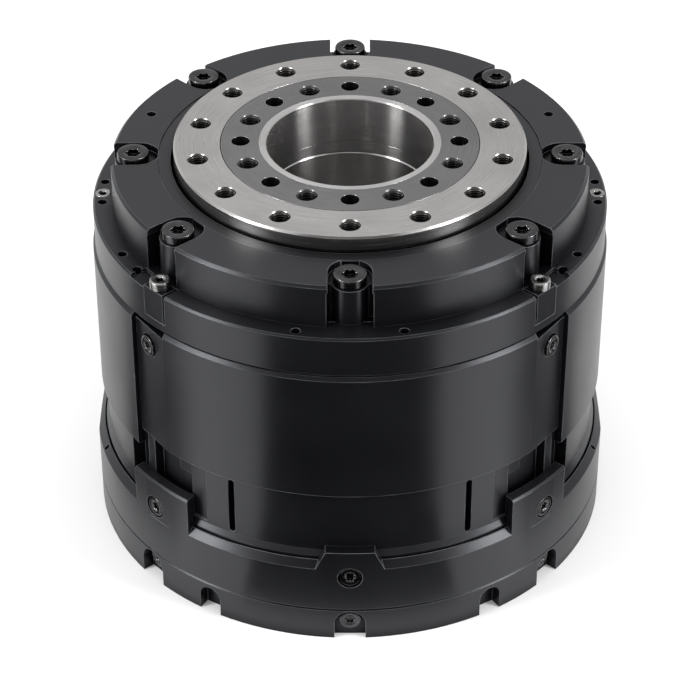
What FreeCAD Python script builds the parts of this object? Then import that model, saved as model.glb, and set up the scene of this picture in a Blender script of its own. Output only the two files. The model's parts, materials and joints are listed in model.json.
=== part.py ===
import FreeCAD, Part
import math
import os

# Robot joint actuator: a hollow-shaft motor, brake and strain-wave gear in one housing.
# Own frame in millimetres: +Z up the joint axis, origin on the axis at the resting face.
# Angles round the axis start at the front (-Y) and grow towards +X.

os.makedirs("parts", exist_ok=True)

V = FreeCAD.Vector
CENTRE = V(0, 0, 0)
UP = V(0, 0, 1)
FRONT = V(0, -1, 0)

# Named clearances
NEST = 0.1            # radial, between nested pieces of one body
RUN = 0.05            # radial, running fit on the input shaft
SCREW = 0.1           # radial, round a screw shank
PAST = 1.0            # how far a cutting tool runs past a face

# Outside, from the floor up
BASE_R = 71.0
FOOT_TOP = 9.7
RING_TOP = 25.3
RING_CHAMFER = 1.9
HOUSING_R = 67.8
HOUSING_FLARE = 0.8
CORE_R = 66.7
SHROUD_R = 69.2
FRONT_SHROUD_Z = 46.6
SIDE_SHROUD_Z = 41.5
SHROUD_TOP = 84.0
FLANGE_Z = 84.4
FLANGE_R = 68.6
COVER_Z = 95.65
COVER_R = 63.3
COVER_TOP = 107.55
OUTPUT_TOP = 111.45

# Output side
OUTPUT_R = 46.69
OUTPUT_IN_R = 34.35
OUTPUT_HOLES = 14
OUTPUT_HOLE_AT = 40.9
M5_TAP_R = 2.1
M5_R = 2.5
M3_R = 1.5
HUB_HOLES = 8
HUB_HOLE_AT = 28.9
HUB_PLAIN_R = 2.45
SLEEVE_IN_R = 22.12
SLEEVE_R = 24.07
SLEEVE_Z = 98.4
TUBE_IN_R = 22.0
TUBE_R = 23.2
TUBE_TOP = 95.0
TUBE_Z = 1.0

# Cover and its screws
COVER_SCREW_AT = 57.5
COVER_SCREW_ANGLES = (0, 49.3, 90, 135, 180, 225, 270, 310.7)
COVER_HEAD_R = 4.2
COVER_HEAD_H = 2.6
COVER_SEAT_Z = 105.6
POCKET_R = 5.6
POCKET_AT = 56.1
BOSS_R = 4.8
BOSS_GROOVE = 1.1
SEAL_POCKET_R = 51.0
SEAL_R = 47.0
SEAL_Z = 98.0
SEAL_TOP = 103.0
COVER_IN_R = 49.5
GAP_R = 47.5

# Side strips, tabs and windows
STRIP_ANGLE = 43.8
PANEL_ANGLE = 54.5
FACET_ANGLE = 54.7
FACET_R = 67.9
SHROUD_SCREW_OFF = 6.3
SHROUD_SCREW_Z = 77.0
TAB_TOP = 29.2
TAB_SCREW_Z = 20.8
TAB_HALF_TOP = 6.5
TAB_HALF_LOW = 9.2
TAB_LOW_Z = 23.2
SIDE_TAB_TOP = 35.0
SIDE_TAB_IN = 37.3
SIDE_TAB_OUT = 54.3
SIDE_TAB_SCREW = 47.5
SIDE_TAB_SCREW_Z = 26.2
M3_HEAD_R = 2.9
M3_HEAD_H = 1.7
M3_RECESS_R = 3.3

# Foot
FOOT_ARCHES = ((0, 8.3, 2.0), (32, 6.4, 3.4), (49.4, 8.7, 3.4))
ARCH_CENTRE_Z = 5.0
FOOT_SCREW_Z = 6.1
FOOT_CAVITY_R = 66.0
FOOT_FLOOR = 4.0
FOOT_BOLTS = 8
FOOT_BOLT_AT = 58.0
FOOT_BOSS_R = 3.8
FOOT_BOSS_TOP = 6.2
FOOT_BORE_R = 25.5

# Flange ring
INSERT_ANGLE = 46.8
INSERT_W = 7.1
INSERT_IN_R = 63.8
INSERT_Z = 86.9
RING_HOLE_AT = 66.0
RING_HOLE_R = 1.25
RING_HOLES = (11.8, 55.7, 62.8, 85.6)
FLUSH_SCREW_ANGLE = 89.6
FLUSH_HEAD_R = 2.2
CAP_HEAD_R = 2.7
CAP_HEAD_H = 2.4

# Crossed-roller bearing
BEARING_R = 51.0
BEARING_Z = 89.1
ROLLER_R = 2.2
ROLLER_L = 4.4
ROLLERS = 30
RACE_SIDE = 5.0
RACE_GAP = 0.3
INNER_RING_R = 38.5
INNER_RING_Z = 82.6
INNER_RING_TOP = 95.0
OUTER_RING_R = 60.95
OUTER_RING_Z = 83.0
OUTPUT_SCREW_AT = 44.9
OUTPUT_SCREWS = 12

# Strain-wave gear
FLEX_TEETH = 100
TEETH_MORE = 2
FLEX_IN_R = 39.4
FLEX_ROOT_R = 40.1
FLEX_TIP_R = 41.0
SPLINE_TIP_R = 41.35
SPLINE_ROOT_R = 42.25
SPLINE_R = 50.0
SPLINE_Z = 72.0
TOOTH_Z = 73.4
TOOTH_TOP = 81.4
FLEX_TOP = 82.2
HAT_Z = 57.6
HAT_R = 61.5
HAT_CLAMP_R = 51.5
HAT_SCREWS = 12
HAT_SCREW_AT = 56.2
WAVE_A = 39.2
WAVE_B = 37.6
WAVE_Z = 73.6
WAVE_TOP = 81.0
WAVE_RACE = 1.6
WAVE_BALL_R = 1.7
WAVE_BALLS = 16

# Input shaft and its bearings
SHAFT_IN_R = 24.0
SHAFT_R = 27.5
SHAFT_Z = 8.0
SHAFT_TOP = 93.0
INPUT_BEARING_R = 36.0
INPUT_BEARING_H = 9.0
UPPER_BEARING_Z = 84.2
LOWER_BEARING_Z = 21.2
BALL_AT = 31.75
BALL_R = 2.0
BALLS = 12

# Motor, brake and boards
MOTOR_BORE_R = 62.1
STATOR_Z = 33.0
STATOR_TOP = 49.6
STATOR_IN_R = 44.6
STATOR_TEETH = 18
TOOTH_W = 7.5
COIL_T = 3.3
COIL_END = 4.2
MAGNET_R = 43.8
MAGNET_IN_R = 41.0
MAGNETS = 20
CARRIER_Z = 20.6
BRAKE_Z = 15.2
BRAKE_R = 57.0
BRAKE_IN_R = 38.0
BRAKE_POST_AT = 54.8
BRAKE_POSTS = 3
ARMATURE_GAP = 0.3
BOARD_Z = 6.4
BOARD_T = 1.6
GEAR_BORE_R = 63.0


def about_z(shape, degrees):
    moved = shape.copy()
    moved.rotate(CENTRE, UP, degrees)
    return moved


def spread(shape, angles):
    return [about_z(shape, angle) for angle in angles]


def even(count, start=0.0):
    return [start + 360.0 * i / count for i in range(count)]


def both_sides(angles):
    return sorted(set(list(angles) + [(360 - a) % 360 for a in angles]))


def four_ways(angles):
    return both_sides(list(angles) + [180 - a for a in angles])


def disc(radius, z0, z1):
    return Part.makeCylinder(radius, z1 - z0, V(0, 0, z0))


def ring(outer, inner, z0, z1):
    return disc(outer, z0, z1).cut(disc(inner, z0 - PAST, z1 + PAST))


def post(radius, at, z0, z1):
    return Part.makeCylinder(radius, z1 - z0, V(0, -at, z0))


def spoke(radius, r0, r1, z, off=0.0):
    return Part.makeCylinder(radius, r1 - r0, V(off, -r0, z), FRONT)


def block(width, r0, r1, z0, z1, off=0.0):
    return Part.makeBox(width, r1 - r0, z1 - z0, V(off - width / 2.0, -r1, z0))


def swept(points, start, end):
    # A profile of (radius, height) points turned from one angle to another
    corners = [V(0, -r, z) for r, z in points]
    face = Part.Face(Part.makePolygon(corners + corners[:1]))
    return about_z(face.revolve(CENTRE, UP, end - start), start)


def turned(points):
    return swept(points, 0, 360)


def sector(start, end, r0, r1, z0, z1):
    return swept([(r0, z0), (r1, z0), (r1, z1), (r0, z1)], start, end)


def joined(shapes):
    return shapes[0].multiFuse(shapes[1:]).removeSplitter()


def group(shapes):
    return Part.makeCompound(shapes)


def milled(body, tools):
    # One cut after another, for tools that share faces with the body
    for tool in tools:
        body = body.cut(tool)
    return body


def screw_down(head_r, head_h, shank_r, at, seat, tip):
    # Cap screw pointing down, head standing on its seat
    head = post(head_r, at, seat, seat + head_h)
    return joined([head, post(shank_r, at, tip, seat)])


def screw_up(head_r, head_h, shank_r, at, seat, tip):
    head = post(head_r, at, seat - head_h, seat)
    return joined([head, post(shank_r, at, seat, tip)])


def screw_in(head_r, head_h, shank_r, seat, tip, z, off=0.0):
    # Radial screw pointing at the axis
    head = spoke(head_r, seat, seat + head_h, z, off)
    return joined([head, spoke(shank_r, tip, seat, z, off)])


# ---- foot, base ring and housing ----

def arch_tool(width, depth):
    wall = BASE_R - depth
    slot = block(width, wall, BASE_R + PAST, -PAST, ARCH_CENTRE_Z)
    return joined([slot, spoke(width / 2.0, wall, BASE_R + PAST, ARCH_CENTRE_Z)])


def foot():
    body = turned([(FOOT_BORE_R, 0), (BASE_R, 0), (BASE_R, FOOT_TOP - 0.4),
                   (BASE_R - 0.4, FOOT_TOP), (FOOT_CAVITY_R, FOOT_TOP),
                   (FOOT_CAVITY_R, FOOT_FLOOR), (44.0, FOOT_FLOOR), (44.0, 3.0),
                   (28.5, 3.0), (28.5, 5.0), (FOOT_BORE_R, 5.0)])
    tools = []
    for angle, width, depth in FOOT_ARCHES:
        tools += spread(arch_tool(width, depth), four_ways([angle]))
    shank = spoke(M3_R + SCREW, FOOT_CAVITY_R - PAST, BASE_R, FOOT_SCREW_Z)
    tools += spread(shank, four_ways([0, 49.4]))
    boss = post(FOOT_BOSS_R, FOOT_BOLT_AT, FOOT_FLOOR - PAST, FOOT_BOSS_TOP)
    body = joined([body] + spread(boss, even(FOOT_BOLTS, 22.5)))
    bolt = post(M5_TAP_R, FOOT_BOLT_AT, -PAST, FOOT_BOSS_TOP - 0.8)
    tools += spread(bolt, even(FOOT_BOLTS, 22.5))
    return body.cut(tools)


def foot_screws():
    shallow = screw_in(M3_HEAD_R, M3_HEAD_H, M3_R, BASE_R - 2.0, 63.2, FOOT_SCREW_Z)
    deep = screw_in(M3_HEAD_R, M3_HEAD_H, M3_R, BASE_R - 3.4, 63.2, FOOT_SCREW_Z)
    return group(spread(shallow, (0, 180)) + spread(deep, four_ways([49.4])))


def front_tab_slab():
    # Trapezium standing in the XZ plane and run forward past the ring
    corners = [(-TAB_HALF_LOW, TAB_LOW_Z - 5.0), (TAB_HALF_LOW, TAB_LOW_Z - 5.0),
               (TAB_HALF_LOW, TAB_LOW_Z), (TAB_HALF_TOP, TAB_TOP),
               (-TAB_HALF_TOP, TAB_TOP), (-TAB_HALF_LOW, TAB_LOW_Z)]
    points = [V(x, 0, z) for x, z in corners]
    return Part.Face(Part.makePolygon(points + points[:1])).extrude(V(0, -80, 0))


def ring_gap_profile():
    # What is taken off the tall blank between the tabs: leaves the chamfered rim
    lip = BASE_R - RING_CHAMFER
    return [(HOUSING_R - PAST, 22.5), (lip, 22.5), (lip, RING_TOP),
            (BASE_R + PAST, RING_TOP - RING_CHAMFER - PAST),
            (BASE_R + PAST, SIDE_TAB_TOP + PAST), (HOUSING_R - PAST, SIDE_TAB_TOP + PAST)]


def base_ring():
    inner = HOUSING_R + HOUSING_FLARE + NEST
    close = HOUSING_R + NEST
    body = turned([(inner, FOOT_TOP), (BASE_R - 0.3, FOOT_TOP), (BASE_R, FOOT_TOP + 0.3),
                   (BASE_R, SIDE_TAB_TOP - 0.5), (BASE_R - 0.5, SIDE_TAB_TOP),
                   (close, SIDE_TAB_TOP), (close, 28.6), (inner, 28.6)])
    front_gap = swept(ring_gap_profile(), -SIDE_TAB_IN, SIDE_TAB_IN).cut(front_tab_slab())
    side_gap = swept(ring_gap_profile(), SIDE_TAB_OUT, 180 - SIDE_TAB_OUT)
    body = body.cut(spread(front_gap, (0, 180)) + spread(side_gap, (0, 180)))
    seats = four_ways([SIDE_TAB_SCREW])
    tools = spread(spoke(M3_RECESS_R, BASE_R - 1.9, BASE_R + PAST, TAB_SCREW_Z), (0, 180))
    tools += spread(spoke(M3_R + SCREW, 60, BASE_R, TAB_SCREW_Z), (0, 180))
    tools += spread(spoke(M3_RECESS_R, BASE_R - 1.9, BASE_R + PAST, SIDE_TAB_SCREW_Z), seats)
    tools += spread(spoke(M3_R + SCREW, 60, BASE_R, SIDE_TAB_SCREW_Z), seats)
    tools += spread(post(0.7, 70.05, 21.0, RING_TOP + PAST), four_ways([74]))
    tab_flat = block(16, BASE_R - 0.16, BASE_R + PAST, 22.2, SIDE_TAB_TOP + PAST)
    tools += spread(tab_flat, four_ways([46.2]))
    side_flat = block(50, 70.35, BASE_R + PAST, FOOT_TOP + 5.0, RING_TOP)
    tools += spread(side_flat, (90, 270))
    return milled(body, tools)


def tab_screws():
    front = screw_in(M3_HEAD_R, M3_HEAD_H, M3_R, BASE_R - 1.9, 64.5, TAB_SCREW_Z)
    side = screw_in(M3_HEAD_R, M3_HEAD_H, M3_R, BASE_R - 1.9, 64.5, SIDE_TAB_SCREW_Z)
    return group(spread(front, (0, 180)) + spread(side, four_ways([SIDE_TAB_SCREW])))


def window_tools():
    # Relief windows in the +X front quarter of the housing, behind the side tab
    top = FRONT_SHROUD_Z - 0.3
    low = 28.4
    past = HOUSING_R + PAST
    return [
        sector(52.3, 59.6, 64.2, past, low, top),
        sector(42.3, 49.8, 65.0, past, low, top),
        sector(38.2, 42.4, 65.0, past, low, 40.6),
        sector(38.2, 42.4, 66.5, past, 40.5, top),
        sector(33.8, 38.3, 67.2, past, low, top),
        block(1.9, 64.8, past, 29.0, 44.2),
        spoke(0.95, 64.8, past, 29.0),
        spoke(0.95, 64.8, past, 44.2),
    ]


def quarter_windows():
    plain = window_tools()
    right = plain[:5] + [about_z(tool, 27.2) for tool in plain[5:]]
    left = [tool.mirror(CENTRE, V(1, 0, 0)) for tool in right]
    front = right + left
    return front + [about_z(tool, 180) for tool in front]


def main_housing():
    flare = HOUSING_R + HOUSING_FLARE
    body = turned([(MOTOR_BORE_R, FOOT_FLOOR + NEST), (FOOT_CAVITY_R - NEST, FOOT_FLOOR + NEST),
                   (FOOT_CAVITY_R - NEST, FOOT_TOP), (flare, FOOT_TOP), (flare, 26.0),
                   (HOUSING_R, 27.6), (HOUSING_R, FRONT_SHROUD_Z),
                   (CORE_R, FRONT_SHROUD_Z), (CORE_R, FLANGE_Z), (GEAR_BORE_R, FLANGE_Z),
                   (GEAR_BORE_R, HAT_Z), (50.0, HAT_Z), (50.0, 54.5), (60.5, 54.5),
                   (60.5, STATOR_TOP), (MOTOR_BORE_R, STATOR_TOP)])
    side = sector(PANEL_ANGLE, 180 - PANEL_ANGLE, CORE_R, HOUSING_R + PAST,
                  SIDE_SHROUD_Z, FRONT_SHROUD_Z + PAST)
    tools = spread(side, (0, 180)) + quarter_windows()
    tools.append(ring(63.5, MOTOR_BORE_R - PAST, 19.2, CARRIER_Z + 0.05))
    hole = spoke(M3_R + SCREW, 60, BASE_R, TAB_SCREW_Z)
    tools += spread(hole, (0, 180))
    hole = spoke(M3_R + SCREW, 60, BASE_R, SIDE_TAB_SCREW_Z)
    tools += spread(hole, four_ways([SIDE_TAB_SCREW]))
    hole = spoke(M3_R + SCREW, 60, BASE_R, FOOT_SCREW_Z)
    tools += spread(hole, four_ways([0, 49.4]))
    hole = post(M3_R + SCREW, HAT_SCREW_AT, 54.0, HAT_Z + PAST)
    tools += spread(hole, even(HAT_SCREWS))
    tools += case_screw_holes()
    tools += strip_screw_tools(M3_R + SCREW, 63.5, 70)
    return body.cut(tools)


def case_screw_holes():
    tools = [spoke(M3_R + SCREW, 58.5, 70, 81.0), spoke(M3_HEAD_R + 0.2, 64.6, 70, 81.0)]
    return [about_z(tool, angle) for tool in tools for angle in even(8, 22.5)]


def case_screws():
    screw = screw_in(M3_HEAD_R, M3_HEAD_H, M3_R, 64.6, 59.0, 81.0)
    return group(spread(screw, even(8, 22.5)))


# ---- shroud panels over the housing ----

def strip_screw_tools(radius, r0, r1):
    right = about_z(spoke(radius, r0, r1, SHROUD_SCREW_Z, -SHROUD_SCREW_OFF), FACET_ANGLE)
    left = right.mirror(CENTRE, V(1, 0, 0))
    return [right, left, about_z(right, 180), about_z(left, 180)]


def front_shroud():
    inner = CORE_R + NEST
    body = swept([(inner, FRONT_SHROUD_Z), (SHROUD_R, FRONT_SHROUD_Z),
                  (SHROUD_R, SHROUD_TOP - 0.9), (SHROUD_R - 0.9, SHROUD_TOP),
                  (inner, SHROUD_TOP)], -PANEL_ANGLE, PANEL_ANGLE)
    facet = about_z(block(40, FACET_R, 75, FRONT_SHROUD_Z - PAST, 90), FACET_ANGLE)
    top = sector(STRIP_ANGLE, PANEL_ANGLE + 1, 60, 75, 82.5, 90)
    tools = [facet, top]
    tools += [tool.mirror(CENTRE, V(1, 0, 0)) for tool in tools]
    tools += strip_screw_tools(M3_R + SCREW, 60, 70)
    tools += strip_screw_tools(M3_RECESS_R, FACET_R - 0.45, 70)
    return body.cut(tools)


def side_shroud():
    inner = CORE_R + NEST
    return swept([(inner, SIDE_SHROUD_Z), (SHROUD_R - 0.5, SIDE_SHROUD_Z),
                  (SHROUD_R, SIDE_SHROUD_Z + 0.5), (SHROUD_R, SHROUD_TOP - 0.9),
                  (SHROUD_R - 0.9, SHROUD_TOP), (inner, SHROUD_TOP)],
                 PANEL_ANGLE + 0.2, 179.8 - PANEL_ANGLE)


def shroud_screws():
    seat = FACET_R - 0.45
    right = screw_in(M3_HEAD_R, 1.2, M3_R, seat, 63.8, SHROUD_SCREW_Z, -SHROUD_SCREW_OFF)
    right = about_z(right, FACET_ANGLE)
    left = right.mirror(CENTRE, V(1, 0, 0))
    return group([right, left, about_z(right, 180), about_z(left, 180)])


# ---- flange ring and cover ----

def insert_tools():
    # Notch for one clamp insert, wider on the side nearer the front
    wide = block(INSERT_W + 0.2, INSERT_IN_R - NEST, 72, INSERT_Z, COVER_Z + PAST)
    gap = block(0.9, INSERT_IN_R - NEST, 72, INSERT_Z, COVER_Z + PAST, -INSERT_W / 2.0 - 0.3)
    right = about_z(joined([wide, gap]), INSERT_ANGLE)
    low = sector(50.0, 55.0, INSERT_IN_R - NEST, 72, COVER_Z - 0.8, COVER_Z + PAST)
    tap = about_z(post(M3_R + SCREW, RING_HOLE_AT, FLANGE_Z + 0.6, COVER_Z), INSERT_ANGLE)
    right_tools = [right, low, tap]
    left_tools = [tool.mirror(CENTRE, V(1, 0, 0)) for tool in right_tools]
    front = right_tools + left_tools
    return front + [tool.mirror(CENTRE, V(0, 1, 0)) for tool in front]


def flange_ring():
    body = turned([(OUTER_RING_R + NEST, COVER_Z), (OUTER_RING_R + NEST, OUTER_RING_Z),
                   (52.5, OUTER_RING_Z), (52.5, 78.5), (GEAR_BORE_R - NEST, 78.5),
                   (GEAR_BORE_R - NEST, FLANGE_Z), (FLANGE_R - 0.3, FLANGE_Z),
                   (FLANGE_R, FLANGE_Z + 0.3), (FLANGE_R, COVER_Z - 0.5),
                   (FLANGE_R - 0.5, COVER_Z)])
    tools = insert_tools()
    tools += spread(post(RING_HOLE_R, RING_HOLE_AT, COVER_Z - 5, COVER_Z + PAST),
                    four_ways(RING_HOLES))
    flush = (FLUSH_SCREW_ANGLE, 360 - FLUSH_SCREW_ANGLE)
    tools += spread(post(FLUSH_HEAD_R + SCREW, RING_HOLE_AT, COVER_Z - 2.0, COVER_Z + PAST), flush)
    tools += spread(post(M3_R + SCREW, RING_HOLE_AT, 86.0, COVER_Z), flush)
    tools += spread(post(M5_R + SCREW, COVER_SCREW_AT, 79.3, COVER_Z), COVER_SCREW_ANGLES)
    tools += spread(spoke(M3_R + SCREW, 58.5, 70, 81.0), even(8, 22.5))
    return body.cut(tools)


def ring_inserts():
    blank = block(INSERT_W, INSERT_IN_R, 70, INSERT_Z, COVER_Z)
    piece = blank.common(disc(FLANGE_R - 0.1, 80, 100))
    piece = piece.cut(post(M3_R + SCREW, RING_HOLE_AT, INSERT_Z - PAST, COVER_Z + PAST))
    return group(spread(piece, four_ways([INSERT_ANGLE])))


def ring_screws():
    proud = screw_down(CAP_HEAD_R, CAP_HEAD_H, M3_R, RING_HOLE_AT, COVER_Z, FLANGE_Z + 0.8)
    flush = screw_down(FLUSH_HEAD_R, 2.1, M3_R, RING_HOLE_AT, COVER_Z - 2.0, 86.4)
    flush_angles = (FLUSH_SCREW_ANGLE, 360 - FLUSH_SCREW_ANGLE)
    return group(spread(proud, four_ways([INSERT_ANGLE])) + spread(flush, flush_angles))


def cover_pocket_tools():
    # Screw pocket open to the outside, with a round boss left standing in the wall
    inner_end = post(POCKET_R, POCKET_AT, COVER_SEAT_Z, COVER_TOP + PAST)
    mouth = block(2 * POCKET_R, POCKET_AT, COVER_R + PAST, COVER_SEAT_Z, COVER_TOP + PAST)
    groove_w = 2 * (BOSS_R + BOSS_GROOVE)
    groove = block(groove_w, 58.6, COVER_R + PAST, COVER_Z - PAST, COVER_SEAT_Z + 0.1)
    groove = groove.cut(post(BOSS_R, COVER_SCREW_AT, COVER_Z - 2 * PAST, COVER_TOP))
    shank = post(M5_R + SCREW, COVER_SCREW_AT, COVER_Z - PAST, COVER_SEAT_Z + PAST)
    return [joined([inner_end, mouth]), groove, shank]


def front_cover():
    body = turned([(COVER_IN_R, COVER_Z), (COVER_R, COVER_Z), (COVER_R, COVER_TOP - 0.7),
                   (COVER_R - 0.7, COVER_TOP), (SEAL_POCKET_R, COVER_TOP),
                   (SEAL_POCKET_R, SEAL_Z), (COVER_IN_R, SEAL_Z)])
    tools = []
    for tool in cover_pocket_tools():
        tools += spread(tool, COVER_SCREW_ANGLES)
    tools += spread(post(1.3, 57.7, COVER_TOP - 4, COVER_TOP + PAST), (111, 249))
    return body.cut(tools)


def cover_screws():
    screw = screw_down(COVER_HEAD_R, COVER_HEAD_H, M5_R, COVER_SCREW_AT, COVER_SEAT_Z, 79.6)
    return group(spread(screw, COVER_SCREW_ANGLES))


def output_seal():
    return turned([(SEAL_R, SEAL_TOP - 1.2), (SEAL_R + 0.8, SEAL_TOP), (50.9, SEAL_TOP),
                   (50.9, SEAL_Z), (49.2, SEAL_Z), (49.2, 100.4), (SEAL_R, 100.4)])


def seal_retainer():
    return ring(SEAL_POCKET_R - NEST, GAP_R, SEAL_TOP, COVER_TOP - 0.25)


# ---- output side ----

def output_flange():
    body = turned([(41.1, INNER_RING_TOP), (OUTPUT_R, INNER_RING_TOP),
                   (OUTPUT_R, OUTPUT_TOP - 0.5), (OUTPUT_R - 0.5, OUTPUT_TOP),
                   (OUTPUT_IN_R, OUTPUT_TOP), (OUTPUT_IN_R, 97.0), (41.1, 97.0)])
    tools = spread(post(M5_TAP_R, OUTPUT_HOLE_AT, 101.4, OUTPUT_TOP + PAST),
                   even(OUTPUT_HOLES))
    mouth = Part.makeCone(M5_TAP_R, 2.65, 0.55, V(0, -OUTPUT_HOLE_AT, OUTPUT_TOP - 0.55))
    tools += spread(mouth, even(OUTPUT_HOLES))
    tools += spread(post(M3_R + SCREW, OUTPUT_SCREW_AT, 90, 102.4), even(OUTPUT_SCREWS, 15))
    return body.cut(tools)


def output_hub():
    bore = SLEEVE_R + 0.05
    body = turned([(bore, 93.2), (INPUT_BEARING_R + 0.05, 93.2),
                   (INPUT_BEARING_R + 0.05, UPPER_BEARING_Z), (38.4, UPPER_BEARING_Z),
                   (38.4, INNER_RING_TOP), (41.0, INNER_RING_TOP), (41.0, 97.0),
                   (OUTPUT_IN_R - NEST, 97.0), (OUTPUT_IN_R - NEST, OUTPUT_TOP),
                   (bore, OUTPUT_TOP)])
    tools = spread(post(HUB_PLAIN_R, HUB_HOLE_AT, 101.4, OUTPUT_TOP + PAST), even(HUB_HOLES))
    threaded = even(HUB_HOLES, 22.5)
    tools += spread(post(M5_TAP_R, HUB_HOLE_AT, 101.4, OUTPUT_TOP + PAST), threaded)
    mouth = Part.makeCone(M5_TAP_R, 2.9, 0.8, V(0, -HUB_HOLE_AT, OUTPUT_TOP - 0.8))
    tools += spread(mouth, threaded)
    return body.cut(tools)


def bore_sleeve():
    return turned([(SLEEVE_IN_R, SLEEVE_Z), (SLEEVE_R, SLEEVE_Z), (SLEEVE_R, OUTPUT_TOP),
                   (SLEEVE_IN_R + 0.3, OUTPUT_TOP), (SLEEVE_IN_R, OUTPUT_TOP - 0.3)])


def tube_collar():
    return ring(SLEEVE_R, SLEEVE_IN_R, TUBE_TOP, SLEEVE_Z - 0.2)


def cable_tube():
    return turned([(TUBE_IN_R, TUBE_Z), (TUBE_R, TUBE_Z), (TUBE_R, 93.6), (24.05, 93.6),
                   (24.05, TUBE_TOP), (TUBE_IN_R + 0.6, TUBE_TOP), (TUBE_IN_R, TUBE_TOP - 0.6)])


def race_notch(at, z, half):
    # Square race turned on its corner, as a profile for cutting
    return turned([(at - half, z), (at, z - half), (at + half, z), (at, z + half)])


def bearing_inner_ring():
    body = ring(BEARING_R - RACE_GAP, INNER_RING_R, INNER_RING_Z, INNER_RING_TOP)
    tools = [race_notch(BEARING_R, BEARING_Z, RACE_SIDE / math.sqrt(2))]
    tools += spread(post(M3_R + SCREW, OUTPUT_SCREW_AT, 80, 100), even(OUTPUT_SCREWS, 15))
    return body.cut(tools)


def bearing_outer_ring():
    body = ring(OUTER_RING_R, BEARING_R + RACE_GAP, OUTER_RING_Z, COVER_Z)
    tools = [race_notch(BEARING_R, BEARING_Z, RACE_SIDE / math.sqrt(2))]
    tools += spread(post(M5_R + SCREW, COVER_SCREW_AT, 80, 100), COVER_SCREW_ANGLES)
    return body.cut(tools)


def crossed_rollers():
    # Neighbours lean opposite ways, each lying square in the race
    rollers = []
    for i in range(ROLLERS):
        lean = 1 if i % 2 == 0 else -1
        axis = V(0, -1, lean)
        start = V(0, -BEARING_R, BEARING_Z) - axis.normalize() * (ROLLER_L / 2.0)
        roller = Part.makeCylinder(ROLLER_R, ROLLER_L, start, axis)
        rollers.append(about_z(roller, 360.0 * i / ROLLERS))
    return group(rollers)


def output_screws():
    screw = screw_up(CAP_HEAD_R, 2.6, M3_R, OUTPUT_SCREW_AT, SPLINE_Z, 102.0)
    return group(spread(screw, even(OUTPUT_SCREWS, 15)))


# ---- strain-wave gear ----

def toothed(teeth, root, tip, z0, z1, land):
    # Straight-flanked teeth: land is the share of the pitch left at the tip
    pitch = 2 * math.pi / teeth
    points = []
    for i in range(teeth):
        for step, radius in ((-0.36, root), (-land / 2, tip), (land / 2, tip), (0.36, root)):
            angle = (i + step) * pitch
            points.append(V(radius * math.sin(angle), -radius * math.cos(angle), z0))
    face = Part.Face(Part.makePolygon(points + points[:1]))
    return face.extrude(V(0, 0, z1 - z0))


def flexspline():
    # Round free state: a thin toothed sleeve with a brim clamped to the housing
    wall = turned([(FLEX_IN_R, HAT_Z), (FLEX_ROOT_R, HAT_Z + 2.0), (FLEX_ROOT_R, TOOTH_Z),
                   (FLEX_IN_R, TOOTH_Z)])
    teeth = toothed(FLEX_TEETH, FLEX_ROOT_R, FLEX_TIP_R, TOOTH_Z, TOOTH_TOP, 0.3)
    teeth = teeth.cut(disc(FLEX_IN_R, TOOTH_Z - PAST, TOOTH_TOP + PAST))
    lip = ring(FLEX_ROOT_R - 0.15, FLEX_IN_R, TOOTH_TOP, FLEX_TOP)
    brim = turned([(FLEX_IN_R, HAT_Z), (HAT_R, HAT_Z), (HAT_R, 60.4), (HAT_CLAMP_R, 60.4),
                   (HAT_CLAMP_R - 1.6, 58.6), (FLEX_ROOT_R + 1.0, 58.6),
                   (FLEX_ROOT_R, HAT_Z + 2.0), (FLEX_IN_R, HAT_Z + 2.0)])
    body = joined([wall, teeth, lip, brim])
    holes = spread(post(M3_R + SCREW, HAT_SCREW_AT, 50, 70), even(HAT_SCREWS))
    return body.cut(holes)


def flexspline_screws():
    screw = screw_down(CAP_HEAD_R, 2.6, M3_R, HAT_SCREW_AT, 60.4, 54.8)
    return group(spread(screw, even(HAT_SCREWS)))


def circular_spline():
    body = disc(SPLINE_R, SPLINE_Z, INNER_RING_Z)
    teeth = FLEX_TEETH + TEETH_MORE
    space = toothed(teeth, SPLINE_TIP_R, SPLINE_ROOT_R, SPLINE_Z - PAST, INNER_RING_Z + PAST, 0.3)
    holes = spread(post(M3_R + SCREW, OUTPUT_SCREW_AT, 70, 84), even(OUTPUT_SCREWS, 15))
    return body.cut([space] + holes)


def oval(a, b, z0, z1):
    edge = Part.Ellipse(V(0, 0, z0), a, b).toShape()
    return Part.Face(Part.Wire(edge)).extrude(V(0, 0, z1 - z0))


def oval_ring(a, b, thick, z0, z1):
    hole = oval(a - thick, b - thick, z0 - PAST, z1 + PAST)
    return oval(a, b, z0, z1).cut(hole)


def wave_outer_race():
    return oval_ring(WAVE_A, WAVE_B, WAVE_RACE, WAVE_Z, WAVE_TOP)


def wave_balls():
    half_space = WAVE_RACE + WAVE_BALL_R + 0.4
    a = WAVE_A - half_space
    b = WAVE_B - half_space
    balls = []
    for i in range(WAVE_BALLS):
        angle = 2 * math.pi * (i + 0.5) / WAVE_BALLS
        spot = V(a * math.cos(angle), b * math.sin(angle), (WAVE_Z + WAVE_TOP) / 2.0)
        balls.append(Part.makeSphere(WAVE_BALL_R, spot))
    return group(balls)


def wave_inner_race():
    drop = WAVE_RACE + 2 * WAVE_BALL_R + 0.8
    return oval_ring(WAVE_A - drop, WAVE_B - drop, 1.9, WAVE_Z, WAVE_TOP)


def wave_plug():
    drop = WAVE_RACE + 2 * WAVE_BALL_R + 0.8 + 1.9 + NEST / 2
    plug = oval(WAVE_A - drop, WAVE_B - drop, WAVE_Z - 0.5, WAVE_TOP + 0.5)
    return plug.cut(disc(SHAFT_R + RUN, WAVE_Z - 2, WAVE_TOP + 2))


# ---- input shaft, bearings, motor ----

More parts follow.
